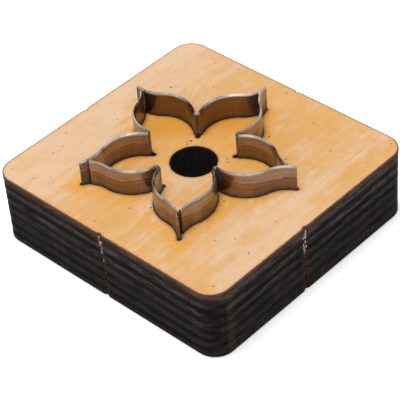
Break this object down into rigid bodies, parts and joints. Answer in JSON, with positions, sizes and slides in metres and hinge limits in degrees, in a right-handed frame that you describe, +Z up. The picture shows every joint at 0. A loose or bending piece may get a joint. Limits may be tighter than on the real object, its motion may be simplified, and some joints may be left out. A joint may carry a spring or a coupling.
{
  "type": "steel rule die",
  "caption": "Steel rule die: a rounded plywood board holding bent steel cutting rules that stand up in the outline of a flower, with a knock-out hole in the middle.",
  "frame": {"origin": "centre of the board's underside, which lies on the press plate", "axes": "+X along the front side, +Y to the back, +Z up towards the cutting edges"},
  "size_m": [0.0644, 0.0624, 0.0238],
  "materials": {
    "board_wood": "sanded birch face with laser-charred sides",
    "rule_steel": "bare rolled strip with a ground edge"
  },
  "bodies": {
    "root": {"die_board": "board_wood", "cutting_rule_1": "rule_steel", "cutting_rule_2": "rule_steel", "cutting_rule_3": "rule_steel", "cutting_rule_4": "rule_steel", "cutting_rule_5": "rule_steel"}
  },
  "joints": []
}
